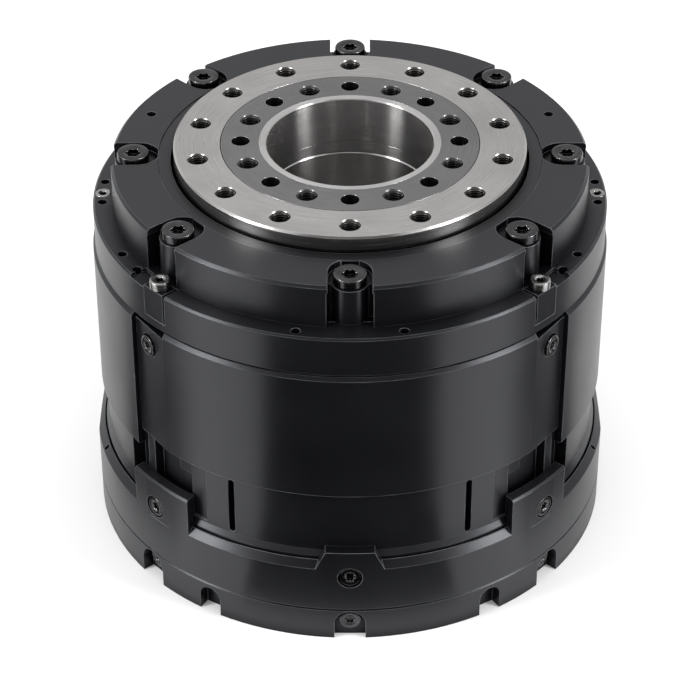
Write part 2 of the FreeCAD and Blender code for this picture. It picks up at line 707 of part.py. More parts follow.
def input_shaft():
    return turned([(SHAFT_IN_R, SHAFT_Z), (SHAFT_R, SHAFT_Z), (SHAFT_R, 52.0), (29.3, 52.0),
                   (29.3, 54.0), (SHAFT_R, 54.0), (SHAFT_R, SHAFT_TOP),
                   (SHAFT_IN_R, SHAFT_TOP)])


def ball_notch(z):
    return race_notch(BALL_AT, z + INPUT_BEARING_H / 2, (BALL_R + 0.15) * math.sqrt(2))


def race_inner(z):
    return ring(BALL_AT - 1.45, SHAFT_R + RUN, z, z + INPUT_BEARING_H).cut(ball_notch(z))


def race_outer(z):
    return ring(INPUT_BEARING_R, BALL_AT + 1.45, z, z + INPUT_BEARING_H).cut(ball_notch(z))


def input_bearing_balls():
    balls = []
    for z in (UPPER_BEARING_Z, LOWER_BEARING_Z):
        ball = Part.makeSphere(BALL_R, V(0, -BALL_AT, z + INPUT_BEARING_H / 2))
        balls += spread(ball, even(BALLS))
    return group(balls)


def upper_bearing_inner():
    return race_inner(UPPER_BEARING_Z)


def upper_bearing_outer():
    return race_outer(UPPER_BEARING_Z)


def lower_bearing_inner():
    return race_inner(LOWER_BEARING_Z)


def lower_bearing_outer():
    return race_outer(LOWER_BEARING_Z)


def stator_core():
    parts = [ring(MOTOR_BORE_R - 0.05, 56.3, STATOR_Z, STATOR_TOP)]
    tooth = block(TOOTH_W, STATOR_IN_R + 1.0, 57.0, STATOR_Z, STATOR_TOP)
    tip = sector(-8.6, 8.6, STATOR_IN_R, 46.8, STATOR_Z, STATOR_TOP)
    parts += spread(tooth, even(STATOR_TEETH)) + spread(tip, even(STATOR_TEETH))
    return joined(parts)


def stator_coils():
    clear = 0.3
    inside = TOOTH_W + 2 * clear
    low = STATOR_Z - COIL_END
    high = STATOR_TOP + COIL_END
    coil = block(inside + 2 * COIL_T, 47.3, 55.4, low, high)
    coil = coil.cut(block(inside, 46, 57, STATOR_Z - clear, STATOR_TOP + clear))
    return group(spread(coil, even(STATOR_TEETH)))


def rotor_yoke():
    return turned([(SHAFT_R + RUN, 31.5), (31.0, 31.5), (31.0, 38.0), (37.4, 38.0),
                   (37.4, 32.5), (MAGNET_IN_R - 0.05, 32.5), (MAGNET_IN_R - 0.05, 50.1),
                   (37.4, 50.1), (37.4, 44.0), (31.0, 44.0), (31.0, 52.0),
                   (SHAFT_R + RUN, 52.0)])


def magnets():
    magnet = sector(-8.0, 8.0, MAGNET_IN_R, MAGNET_R, 33.0, STATOR_TOP)
    return group(spread(magnet, even(MAGNETS)))


def bearing_carrier():
    body = turned([(33.6, CARRIER_Z), (MOTOR_BORE_R - NEST, CARRIER_Z),
                   (MOTOR_BORE_R - NEST, STATOR_Z), (59.6, STATOR_Z), (59.6, 24.6),
                   (39.5, 24.6), (39.5, 30.2), (INPUT_BEARING_R + 0.05, 30.2),
                   (INPUT_BEARING_R + 0.05, LOWER_BEARING_Z), (33.6, LOWER_BEARING_Z)])
    holes = spread(post(M3_R + SCREW, BRAKE_POST_AT, 19, 24.0), even(BRAKE_POSTS, 60))
    return body.cut(holes)


def carrier_snap_ring():
    return sector(10, 350, 58.9, 63.3, 19.4, CARRIER_Z)


# ---- brake ----

def brake_housing():
    body = turned([(BRAKE_IN_R, CARRIER_Z), (BRAKE_R, CARRIER_Z), (BRAKE_R, BRAKE_Z),
                   (48.6, BRAKE_Z), (48.6, 19.0), (41.4, 19.0), (41.4, BRAKE_Z),
                   (BRAKE_IN_R, BRAKE_Z)])
    holes = spread(post(M3_R + SCREW, BRAKE_POST_AT, 10, 22), even(BRAKE_POSTS, 60))
    return body.cut(holes)


def brake_coil():
    return ring(48.4, 41.6, BRAKE_Z + 0.4, 19.0)


def brake_armature():
    top = BRAKE_Z - ARMATURE_GAP
    return ring(51.8, BRAKE_IN_R, top - 1.2, top)


def brake_disc():
    return turned([(SHAFT_R + RUN, 11.4), (32.0, 11.4), (32.0, 12.35), (51.4, 12.35),
                   (51.4, 13.5), (32.0, 13.5), (32.0, 17.5), (SHAFT_R + RUN, 17.5)])


def brake_plate():
    body = ring(BRAKE_R, BRAKE_IN_R, 11.0, 12.15)
    holes = spread(post(M3_R + SCREW, BRAKE_POST_AT, 10, 14), even(BRAKE_POSTS, 60))
    return body.cut(holes)


def brake_spacers():
    sleeve = post(2.4, BRAKE_POST_AT, 12.15, BRAKE_Z)
    sleeve = sleeve.cut(post(M3_R + SCREW, BRAKE_POST_AT, 10, 20))
    return group(spread(sleeve, even(BRAKE_POSTS, 60)))


def brake_screws():
    screw = screw_up(CAP_HEAD_R, 2.4, M3_R, BRAKE_POST_AT, 11.0, 23.8)
    return group(spread(screw, even(BRAKE_POSTS, 60)))


# ---- sensing, drive electronics and sealing ----

def encoder_disc():
    return ring(38.4, SHAFT_R + RUN, 9.0, 9.8)


def output_encoder_disc():
    return ring(27.2, TUBE_R + 0.05, 5.4, 6.1)


def encoder_board():
    board = ring(39.6, 29.6, BOARD_Z, BOARD_Z + 1.2)
    head = block(7.0, 32.0, 38.0, BOARD_Z + 1.2, BOARD_Z + 2.0)
    return joined([board] + spread(head, (0, 120, 240)))


def drive_board():
    return ring(57.6, 41.6, BOARD_Z, BOARD_Z + BOARD_T)


def board_parts():
    # Power switches, driver chips and a connector on the drive board
    top = BOARD_Z + BOARD_T
    switch = block(6.0, 46.0, 51.0, top, top + 1.4)
    chip = block(8.0, 44.5, 52.5, top, top + 1.2)
    plug = block(12.0, 43.5, 49.5, top, top + 2.4)
    pieces = spread(switch, both_sides((20, 35, 85, 100, 140, 155)))
    pieces += spread(chip, (0, 120, 240))
    pieces.append(about_z(plug, 180))
    return group(pieces)


def board_standoffs():
    outer = post(2.5, 49.0, FOOT_FLOOR, BOARD_Z)
    inner = post(1.8, 34.5, 3.0, BOARD_Z)
    return group(spread(outer, even(4, 45)) + spread(inner, even(3, 60)))


def tube_seal():
    return ring(FOOT_BORE_R - 0.05, TUBE_R + 0.3, 0.8, 4.4)


NODES = {
    "foot": foot,
    "foot_screws": foot_screws,
    "base_ring": base_ring,
    "tab_screws": tab_screws,
    "main_housing": main_housing,
    "case_screws": case_screws,
    "front_shroud": front_shroud,
    "rear_shroud": lambda: about_z(front_shroud(), 180),
    "right_shroud": side_shroud,
    "left_shroud": lambda: about_z(side_shroud(), 180),
    "shroud_screws": shroud_screws,
    "flange_ring": flange_ring,
    "ring_inserts": ring_inserts,
    "ring_screws": ring_screws,
    "front_cover": front_cover,
    "cover_screws": cover_screws,
    "output_seal": output_seal,
    "seal_retainer": seal_retainer,
    "output_flange": output_flange,
    "output_hub": output_hub,
    "bore_sleeve": bore_sleeve,
    "tube_collar": tube_collar,
    "cable_tube": cable_tube,
    "bearing_inner_ring": bearing_inner_ring,
    "bearing_outer_ring": bearing_outer_ring,
    "crossed_rollers": crossed_rollers,
    "output_screws": output_screws,
    "circular_spline": circular_spline,
    "flexspline": flexspline,
    "flexspline_screws": flexspline_screws,
    "wave_outer_race": wave_outer_race,
    "wave_balls": wave_balls,
    "wave_inner_race": wave_inner_race,
    "wave_plug": wave_plug,
    "input_shaft": input_shaft,
    "upper_bearing_inner": upper_bearing_inner,
    "upper_bearing_outer": upper_bearing_outer,
    "lower_bearing_inner": lower_bearing_inner,
    "lower_bearing_outer": lower_bearing_outer,
    "input_bearing_balls": input_bearing_balls,
    "stator_core": stator_core,
    "stator_coils": stator_coils,
    "rotor_yoke": rotor_yoke,
    "magnets": magnets,
    "bearing_carrier": bearing_carrier,
    "carrier_snap_ring": carrier_snap_ring,
    "brake_housing": brake_housing,
    "brake_coil": brake_coil,
    "brake_armature": brake_armature,
    "brake_disc": brake_disc,
    "brake_plate": brake_plate,
    "brake_spacers": brake_spacers,
    "brake_screws": brake_screws,
    "encoder_disc": encoder_disc,
    "output_encoder_disc": output_encoder_disc,
    "encoder_board": encoder_board,
    "drive_board": drive_board,
    "board_parts": board_parts,
    "board_standoffs": board_standoffs,
    "tube_seal": tube_seal,
}

for name, make in NODES.items():
    make().exportStep("parts/%s.step" % name)
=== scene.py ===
import json
import math

import bmesh
import bpy
from mathutils import Matrix, Vector


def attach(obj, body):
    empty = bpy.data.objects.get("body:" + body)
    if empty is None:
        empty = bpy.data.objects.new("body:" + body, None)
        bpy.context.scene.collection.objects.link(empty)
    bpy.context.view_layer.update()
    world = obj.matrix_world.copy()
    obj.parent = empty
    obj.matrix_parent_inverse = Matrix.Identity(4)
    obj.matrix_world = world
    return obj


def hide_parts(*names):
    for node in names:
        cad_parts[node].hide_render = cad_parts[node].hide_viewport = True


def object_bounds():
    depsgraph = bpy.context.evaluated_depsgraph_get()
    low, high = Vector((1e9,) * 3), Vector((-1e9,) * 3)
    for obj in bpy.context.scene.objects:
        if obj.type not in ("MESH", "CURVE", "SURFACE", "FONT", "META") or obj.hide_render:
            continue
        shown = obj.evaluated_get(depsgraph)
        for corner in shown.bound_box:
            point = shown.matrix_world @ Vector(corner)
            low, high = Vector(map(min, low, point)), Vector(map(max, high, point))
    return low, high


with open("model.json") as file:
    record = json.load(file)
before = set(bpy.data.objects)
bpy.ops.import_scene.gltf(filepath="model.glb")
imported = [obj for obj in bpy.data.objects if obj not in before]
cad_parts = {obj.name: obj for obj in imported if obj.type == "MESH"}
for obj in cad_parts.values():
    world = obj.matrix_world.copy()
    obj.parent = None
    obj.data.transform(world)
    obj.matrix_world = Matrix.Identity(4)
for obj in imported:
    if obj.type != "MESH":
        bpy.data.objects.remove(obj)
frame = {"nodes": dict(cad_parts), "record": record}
cad_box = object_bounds()
record = frame["record"]
nodes = frame["nodes"]

MM = 0.001
UP = Vector((0, 0, 1))
WELD = 0.0005 * MM      # vertices nearer than this are one
SHARP_DEG = 35.0        # edges of the scene's own meshes above this stay sharp
ROUND_STEPS = 48


def body_of(node):
    for body, members in record["behaviour"]["bodies"].items():
        if node in members:
            return body


slot_of = {name: solid.material_slots[0].material.name.split(".")[0]
           for name, solid in nodes.items()}


# ---- shader building ----

EDGE_GAIN = 3.5             # how fast the edge mark, for wear and painted highlights, grows with an edge's bend
ACROSS_MARKS = 0.25         # turns the long way of a highlight across the turning marks
# Colour of the painted highlight on turned steel edges
PAINTED_EDGE_HIGHLIGHT = (0.82, 0.81, 0.80)


def new_material(name):
    material = bpy.data.materials.new(name)
    material.use_nodes = True
    material.node_tree.nodes.clear()
    return material


def put(tree, kind, inputs=None, **settings):
    # One shader node: an input given as a socket is linked, any other value is set
    node = tree.nodes.new("ShaderNode" + kind)
    for name, value in settings.items():
        setattr(node, name, value)
    for name, value in (inputs or {}).items():
        if isinstance(value, bpy.types.NodeSocket):
            tree.links.new(value, node.inputs[name])
        else:
            node.inputs[name].default_value = value
    return node


def calc(tree, operation, a, b=0.0, clamp=False):
    return put(tree, "Math", {0: a, 1: b}, operation=operation, use_clamp=clamp).outputs[0]


def spread_out(tree, value, low, high, out_low, out_high):
    inputs = {"Value": value, "From Min": low, "From Max": high,
              "To Min": out_low, "To Max": out_high}
    return put(tree, "MapRange", inputs).outputs["Result"]


def place(tree):
    return put(tree, "TexCoord").outputs["Object"]


def noise(tree, vector, scale, detail=2.0, rough=0.5):
    inputs = {"Vector": vector, "Scale": scale, "Detail": detail, "Roughness": rough}
    return put(tree, "TexNoise", inputs).outputs["Fac"]


def mix_colour(tree, share, low, high):
    node = put(tree, "Mix", {"Factor": share}, data_type="RGBA")
    for index, value in ((6, low), (7, high)):
        if isinstance(value, bpy.types.NodeSocket):
            tree.links.new(value, node.inputs[index])
        else:
            node.inputs[index].default_value = (*value, 1.0)
    return node.outputs[2]


def turned_place(tree, fine, coarse):
    # Coordinates that run round the axis: fine across the turning marks, coarse along them
    spot = put(tree, "SeparateXYZ", {0: place(tree)})
    x, y, z = spot.outputs
    square = calc(tree, "ADD", calc(tree, "MULTIPLY", x, x), calc(tree, "MULTIPLY", y, y))
    radius = calc(tree, "SQRT", square)
    angle = calc(tree, "ARCTAN2", y, x)
    inputs = {0: calc(tree, "MULTIPLY", radius, fine),
              1: calc(tree, "MULTIPLY", angle, coarse),
              2: calc(tree, "MULTIPLY", z, fine)}
    return put(tree, "CombineXYZ", inputs).outputs[0]


def round_tangent(tree):
    # Direction of the turning marks, round the joint axis
    cross = put(tree, "VectorMath", {0: (0, 0, 1), 1: place(tree)}, operation="CROSS_PRODUCT")
    turn = put(tree, "VectorTransform", {0: cross.outputs[0]}, vector_type="VECTOR",
               convert_from="OBJECT", convert_to="WORLD")
    return turn.outputs[0]


def rounded(tree, radius):
    return put(tree, "Bevel", {"Radius": radius}, samples=6).outputs["Normal"]


def wear_and_highlight_edge(tree, radius):
    # 1 on an edge and 0 on a face, broken up into patches by noise; the materials use it for
    # edge wear and painted edge highlights
    smooth = rounded(tree, radius)
    flat = put(tree, "NewGeometry").outputs["Normal"]
    dot = put(tree, "VectorMath", {0: smooth, 1: flat}, operation="DOT_PRODUCT").outputs["Value"]
    edge = calc(tree, "MULTIPLY", calc(tree, "SUBTRACT", 1.0, dot), EDGE_GAIN, clamp=True)
    patches = spread_out(tree, noise(tree, place(tree), 160.0, 3.0), 0.35, 0.6, 0.45, 1.0)
    return calc(tree, "MULTIPLY", edge, patches)


def painted_shade_mask(tree, reach, least):
    # Painted shade mask: 1 on open faces, falling to the least value deep in pockets, holes and
    # seams, where the materials paint shade
    open_share = put(tree, "AmbientOcclusion", {"Distance": reach}, samples=8).outputs["AO"]
    return spread_out(tree, open_share, 0.25, 0.85, least, 1.0)


def scaled(colour, share):
    return tuple(c * share for c in colour)


def bumped(tree, height, distance, strength, normal):
    inputs = {"Height": height, "Distance": distance, "Strength": strength, "Normal": normal}
    return put(tree, "Bump", inputs).outputs["Normal"]


def finish_shader(tree, shader):
    put(tree, "OutputMaterial", {"Surface": shader.outputs[0]})


# ---- materials ----

def anodised(name, colour, wear_and_highlight, tint, rough, anisotropy, specular):
    # Hard-anodised aluminium, turned, with a fine etched grain, edges lightened partly by wear
    # and partly as a painted highlight, and painted shade on its reflection deep in hollows
    material = new_material(name)
    tree = material.node_tree
    grain = noise(tree, place(tree), 2600.0, 3.0, 0.6)
    cloud = noise(tree, place(tree), 38.0, 3.0, 0.55)
    turning = noise(tree, turned_place(tree, 2200.0, 4.0), 1.0, 2.0)
    base = mix_colour(tree, spread_out(tree, cloud, 0.3, 0.7, 0.0, 1.0),
                      scaled(colour, 0.72), scaled(colour, 1.35))
    # Edges take a lighter colour: partly wear of the anodise, partly a painted highlight
    edge = wear_and_highlight_edge(tree, 0.22 * MM)
    base = mix_colour(tree, calc(tree, "MULTIPLY", edge, 0.75), base, wear_and_highlight)
    roughness = spread_out(tree, cloud, 0.3, 0.7, rough - 0.03, rough + 0.03)
    roughness = calc(tree, "ADD", roughness, calc(tree, "MULTIPLY", grain, 0.05))
    normal = rounded(tree, 0.3 * MM)
    normal = bumped(tree, turning, 0.004 * MM, 0.5, normal)
    normal = bumped(tree, grain, 0.018 * MM, 0.5, normal)
    # Painted shade: the reflection fades deep in pockets, holes and seams
    shine_with_painted_shade = calc(tree, "MULTIPLY", painted_shade_mask(tree, 5.5 * MM, 0.05), specular)
    shader = put(tree, "BsdfPrincipled", {
        "Base Color": base, "Roughness": roughness, "Normal": normal, "IOR": 1.5,
        "Specular IOR Level": shine_with_painted_shade, "Specular Tint": (*tint, 1.0), "Anisotropic": anisotropy,
        "Anisotropic Rotation": ACROSS_MARKS, "Tangent": round_tangent(tree)})
    finish_shader(tree, shader)
    return material


def turned_steel(name, colour, rough, anisotropy, marks=0.5, vary=0.05):
    # Bare steel with painted highlights on its edges, painted shade in its hollows, and fine
    # turning marks, which also vary its roughness
    material = new_material(name)
    tree = material.node_tree
    marks_map = noise(tree, turned_place(tree, 3500.0, 3.0), 1.0, 3.0, 0.6)
    cloud = noise(tree, place(tree), 55.0, 4.0, 0.6)
    shade = calc(tree, "ADD", calc(tree, "MULTIPLY", marks_map, 0.5),
                 calc(tree, "MULTIPLY", cloud, 0.5))
    base = mix_colour(tree, spread_out(tree, shade, 0.35, 0.65, 0.0, 1.0),
                      scaled(colour, 0.86), scaled(colour, 1.12))
    # Painted highlight: edges take a bright colour
    base = mix_colour(tree, wear_and_highlight_edge(tree, 0.16 * MM), base, PAINTED_EDGE_HIGHLIGHT)
    # Painted shade: hollows turn dark
    base = mix_colour(tree, painted_shade_mask(tree, 3.6 * MM, 0.0), scaled(colour, 0.04), base)
    roughness = spread_out(tree, marks_map, 0.3, 0.7, rough - vary, rough + vary)
    normal = rounded(tree, 0.12 * MM)
    normal = bumped(tree, marks_map, 0.006 * MM, marks, normal)
    shader = put(tree, "BsdfPrincipled", {
        "Base Color": base, "Metallic": 1.0, "Roughness": roughness, "Normal": normal,
        "Anisotropic": anisotropy, "Anisotropic Rotation": ACROSS_MARKS,
        "Tangent": round_tangent(tree)})
    finish_shader(tree, shader)
    return material


def plain_metal(name, colour, rough, edge_wear_and_highlight, painted_shade_reach=1.6):
    # Formed or ground metal with no grain direction, such as a screw or a ball; edges take a
    # lighter colour, partly wear and partly a painted highlight, and hollows narrower than the
    # given size in mm are dark with painted shade
    material = new_material(name)
    tree = material.node_tree
    grain = noise(tree, place(tree), 1800.0, 3.0, 0.6)
    cloud = noise(tree, place(tree), 240.0, 3.0, 0.6)
    base = mix_colour(tree, spread_out(tree, cloud, 0.35, 0.65, 0.0, 1.0),
                      scaled(colour, 0.75), scaled(colour, 1.25))
    # Edges take a lighter colour: partly wear, partly a painted highlight
    base = mix_colour(tree, wear_and_highlight_edge(tree, 0.2 * MM), base, edge_wear_and_highlight)
    # Painted shade: hollows turn dark
    base = mix_colour(tree, painted_shade_mask(tree, painted_shade_reach * MM, 0.0), scaled(colour, 0.05), base)
    roughness = spread_out(tree, grain, 0.3, 0.7, rough - 0.06, rough + 0.06)
    normal = bumped(tree, grain, 0.008 * MM, 0.4, rounded(tree, 0.15 * MM))
    shader = put(tree, "BsdfPrincipled", {
        "Base Color": base, "Metallic": 1.0, "Roughness": roughness, "Normal": normal})
    finish_shader(tree, shader)
    return material


def dull(name, colour, rough, scale, depth, spec=0.4):
    # Rubber, friction lining, circuit board or sintered magnet
    material = new_material(name)
    tree = material.node_tree
    grain = noise(tree, place(tree), scale, 4.0, 0.6)
    base = mix_colour(tree, spread_out(tree, grain, 0.3, 0.7, 0.0, 1.0),
                      scaled(colour, 0.7), scaled(colour, 1.3))
    roughness = spread_out(tree, grain, 0.3, 0.7, rough - 0.08, rough + 0.08)
    normal = bumped(tree, grain, depth, 0.5, rounded(tree, 0.15 * MM))
    shader = put(tree, "BsdfPrincipled", {
        "Base Color": base, "Roughness": roughness, "Normal": normal,
        "Specular IOR Level": spec})
    finish_shader(tree, shader)
    return material


SHEET_THICKNESS = 0.35 * MM
WIRE_PITCH = 0.8 * MM


def stacked_sheets(name, colour):
    # Stator laminations: thin sheets seen edge on
    material = new_material(name)
    tree = material.node_tree
    z = put(tree, "SeparateXYZ", {0: place(tree)}).outputs[2]
    sheet = calc(tree, "FRACT", calc(tree, "MULTIPLY", z, 1.0 / SHEET_THICKNESS))
    line = calc(tree, "LESS_THAN", sheet, 0.18)
    grain = noise(tree, place(tree), 900.0, 3.0)
    base = mix_colour(tree, grain, scaled(colour, 0.8), colour)
    base = mix_colour(tree, line, base, scaled(colour, 0.35))
    normal = bumped(tree, line, -0.05 * MM, 0.6, rounded(tree, 0.1 * MM))
    shader = put(tree, "BsdfPrincipled", {
        "Base Color": base, "Metallic": 1.0, "Roughness": 0.42, "Normal": normal})
    finish_shader(tree, shader)
    return material


def wound_wire(name, colour):
    # Enamelled winding: rows of round wire
    material = new_material(name)
    tree = material.node_tree
    z = put(tree, "SeparateXYZ", {0: place(tree)}).outputs[2]
    row = calc(tree, "SINE", calc(tree, "MULTIPLY", z, 2 * math.pi / WIRE_PITCH))
    grain = noise(tree, place(tree), 600.0, 3.0)
    base = mix_colour(tree, grain, scaled(colour, 0.75), colour)
    normal = bumped(tree, row, 0.1 * MM, 0.7, rounded(tree, 0.3 * MM))
    shader = put(tree, "BsdfPrincipled", {
        "Base Color": base, "Metallic": 1.0, "Roughness": 0.3, "Normal": normal,
        "Coat Weight": 0.6, "Coat Roughness": 0.15})
    finish_shader(tree, shader)
    return material


SLOT_MATERIALS = {
    "anodised_dark": anodised("anodised_dark_finish", (0.0025, 0.0026, 0.0034),
                              wear_and_highlight=(0.40, 0.41, 0.44), tint=(0.93, 0.94, 1.0),
                              rough=0.31, anisotropy=0.7, specular=0.51),
    "flange_steel": turned_steel("flange_steel_finish", (0.47, 0.457, 0.45), 0.23, 0.4),
    "hub_steel": turned_steel("hub_steel_finish", (0.215, 0.213, 0.217), 0.23, 0.4),
    "bright_steel": turned_steel("bright_steel_finish", (0.58, 0.57, 0.565), 0.23, 1.0,
                                 0.02, 0.012),
    # The last colour of a plain_metal finish is its edge colour, partly wear and partly a
    # painted highlight
    "screw_black": plain_metal("screw_black_finish", (0.065, 0.065, 0.068), 0.24,
                               (0.75, 0.75, 0.75)),
    "screw_silver": plain_metal("screw_silver_finish", (0.33, 0.33, 0.325), 0.26,
                                (0.85, 0.85, 0.84)),
    "bearing_steel": plain_metal("bearing_steel_finish", (0.5, 0.5, 0.51), 0.16,
                                 (0.8, 0.8, 0.8)),
    "gear_steel": plain_metal("gear_steel_finish", (0.33, 0.33, 0.34), 0.32, (0.7, 0.7, 0.7)),
    "seal_rubber": dull("seal_rubber_finish", (0.012, 0.012, 0.013), 0.55, 1400.0, 0.02 * MM),
    "laminations": stacked_sheets("laminations_finish", (0.3, 0.3, 0.32)),
    "copper": wound_wire("copper_finish", (0.72, 0.33, 0.16)),
    "magnet": dull("magnet_finish", (0.12, 0.12, 0.125), 0.35, 2400.0, 0.01 * MM, 0.8),
    "friction": dull("friction_finish", (0.10, 0.075, 0.05), 0.8, 700.0, 0.08 * MM, 0.2),
    "board": dull("board_finish", (0.01, 0.07, 0.025), 0.45, 500.0, 0.01 * MM, 0.5),
    "chips": dull("chips_finish", (0.015, 0.015, 0.016), 0.5, 1500.0, 0.01 * MM, 0.4),
}

# Its last two values: the edge colour, partly wear and partly a painted highlight, and the reach
# in mm of the painted shade in the threads' hollows
THREAD_STEEL = plain_metal("thread_finish", (0.05, 0.049, 0.048), 0.3, (0.28, 0.27, 0.26), 4.5)

for node, solid in nodes.items():
    material = SLOT_MATERIALS[slot_of[node]]
    for slot in solid.material_slots:
        slot.material = material


# ---- mesh building ----

def turned_rows(mesh, rows, count, place_at):
    # Closed body of revolution from (radius, height) rows; a radius may be a function
    # of the angle, and a radius of 0 closes an end with one point
    loops = []
    for radius, height in rows:
        if radius == 0:
            loops.append([mesh.verts.new(place_at @ Vector((0, 0, height)))])
            continue
        loop = []
        for i in range(count):
            angle = 2 * math.pi * i / count
            r = radius(angle) if callable(radius) else radius
            spot = Vector((r * math.cos(angle), r * math.sin(angle), height))
            loop.append(mesh.verts.new(place_at @ spot))
        loops.append(loop)
    for low, high in zip(loops, loops[1:]):
        for i in range(count):
            j = (i + 1) % count
            ends = [low[i % len(low)], low[j % len(low)],
                    high[j % len(high)], high[i % len(high)]]
            mesh.faces.new(list(dict.fromkeys(ends)))


def new_piece(name, mesh, material):
    data = bpy.data.meshes.new(name)
    bmesh.ops.recalc_face_normals(mesh, faces=mesh.faces)
    mesh.to_mesh(data)
    mesh.free()
    data.shade_smooth()
    data.set_sharp_from_angle(angle=math.radians(SHARP_DEG))
    data.materials.append(material)
    piece = bpy.data.objects.new(name, data)
    bpy.context.scene.collection.objects.link(piece)
    return piece


# ---- screws, read from their CAD solids and given sockets ----

ONE_PLANE = 0.01 * MM       # points that differ less than this along an axis are level


def loose_solids(node):
    mesh = bmesh.new()
    mesh.from_mesh(nodes[node].data)
    bmesh.ops.remove_doubles(mesh, verts=mesh.verts, dist=WELD)
    solids = []
    waiting = set(mesh.verts)
    while waiting:
        edge_of_search = [waiting.pop()]
        found = []
        while edge_of_search:
            vert = edge_of_search.pop()
            found.append(vert)
            for edge in vert.link_edges:
                other = edge.other_vert(vert)
                if other in waiting:
                    waiting.remove(other)
                    edge_of_search.append(other)
        faces = {face for vert in found for face in vert.link_faces}
        points = [vert.co.copy() for vert in found]
        flats = [(face.normal.copy(), face.calc_area()) for face in faces]
        solids.append((points, flats))
    mesh.free()
    return solids


def off_axis(point, centre, axis):
    along = (point - centre).dot(axis)
    return (point - centre - axis * along).length


def read_screw(points, flats):
    # The way most of its flat area faces is the screw's axis, and its head is the wide end
    areas = {}
    for normal, area in flats:
        key = tuple(round(c, 2) for c in normal)
        areas[key] = areas.get(key, 0.0) + area
    axis = Vector(max(areas, key=areas.get)).normalized()
    ends = []
    for way in (axis, -axis):
        top = max(point.dot(way) for point in points)
        cap = [point for point in points if top - point.dot(way) < ONE_PLANE]
        centre = sum(cap, Vector()) / len(cap)
        ends.append((max((point - centre).length for point in cap), way, centre))
    head_r, way, centre = max(ends, key=lambda end: end[0])
    depths = [(-(point - centre).dot(way), off_axis(point, centre, way)) for point in points]
    head_h = max(depth for depth, off in depths if off > 0.9 * head_r)
    length = max(depth for depth, off in depths)
    shank_r = max(off for depth, off in depths if depth > head_h + ONE_PLANE)
    turn = UP.rotation_difference(way).to_matrix().to_4x4()
    return Matrix.Translation(centre) @ turn, head_r, head_h, shank_r, length


def six_lobes(radius):
    return lambda angle: radius * (0.87 + 0.13 * math.cos(6 * angle))


def screw_rows(head_r, head_h, shank_r, length, socket, edge):
    # Tip, shank, head with rounded rims, and a six-lobed socket with a lead-in
    lobes = socket * head_r
    deep = 0.62 * head_h
    return [
        (0, -length), (shank_r - 0.3 * MM, -length), (shank_r, -length + 0.3 * MM),
        (shank_r, -head_h), (head_r - 0.15 * MM, -head_h), (head_r, -head_h + 0.15 * MM),
        (head_r, -edge), (head_r - 0.3 * edge, -0.3 * edge), (head_r - edge, 0),
        (lobes + 0.42 * MM, 0), (lobes + 0.12 * MM, -0.16 * MM),
        (six_lobes(lobes), -0.36 * MM), (six_lobes(lobes), -deep),
        (0.55 * lobes, -deep - 0.05 * MM), (0, -deep - 0.25 * MM),
    ]


def socket_screws(node, socket, edge, finish=None):
    # The socket is a share of the head's radius and the rounded edge is in mm; a finish
    # other than the slot's own can be named
    mesh = bmesh.new()
    for points, flats in loose_solids(node):
        at, head_r, head_h, shank_r, length = read_screw(points, flats)
        rows = screw_rows(head_r, head_h, shank_r, length, socket, edge * MM)
        turned_rows(mesh, rows, ROUND_STEPS, at)
    piece = new_piece(node + "_socketed", mesh, SLOT_MATERIALS[finish or slot_of[node]])
    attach(piece, body_of(node))
    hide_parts(node)


socket_screws("cover_screws", 0.5, 0.45)
socket_screws("ring_screws", 0.45, 0.35)
socket_screws("tab_screws", 0.48, 0.35, "screw_black")
socket_screws("shroud_screws", 0.48, 0.35, "screw_black")
socket_screws("foot_screws", 0.48, 0.35)
socket_screws("case_screws", 0.48, 0.35)


# ---- tapped holes: the CAD holes are the threads' crests ----

THREAD_PITCH = 0.8 * MM
THREAD_DEPTH = 0.4 * MM
THREAD_LENGTH = 8.6 * MM
RIDGE_SHARE = 0.42          # half a ridge's foot, as a share of the pitch
THREAD_STEPS = 24           # per turn
RIDGE_FOOT = 0.02 * MM      # how deep a ridge stands in the wall
MOUTH_CHAMFER = 0.32 * MM
PAST_FACE = 0.1 * MM        # how far a cutter reaches out of the face
TAPPED_SHARP_DEG = 30.0
FLAT_Z = 0.999              # faces as level as this are shaded flat


def thread_ridge(mesh, centre, radius, length):
    # A helical ridge with a V section standing on the hole's wall
    half = RIDGE_SHARE * THREAD_PITCH
    foot = radius + RIDGE_FOOT
    section = ((foot, -half), (radius - THREAD_DEPTH, 0.0), (foot, half))
    steps = int(THREAD_STEPS * (length - 2 * half) / THREAD_PITCH)
    rings = []
    for i in range(steps + 1):
        angle = 2 * math.pi * i / THREAD_STEPS
        z = -half - THREAD_PITCH * i / THREAD_STEPS
        out = Vector((math.cos(angle), math.sin(angle), 0))
        ring = [mesh.verts.new(centre + out * r + Vector((0, 0, z + dz))) for r, dz in section]
        rings.append(ring)
    for low, high in zip(rings, rings[1:]):
        for i in range(len(section)):
            j = (i + 1) % len(section)
            mesh.faces.new((low[i], low[j], high[j], high[i]))
    mesh.faces.new(rings[0])
    mesh.faces.new(rings[-1])


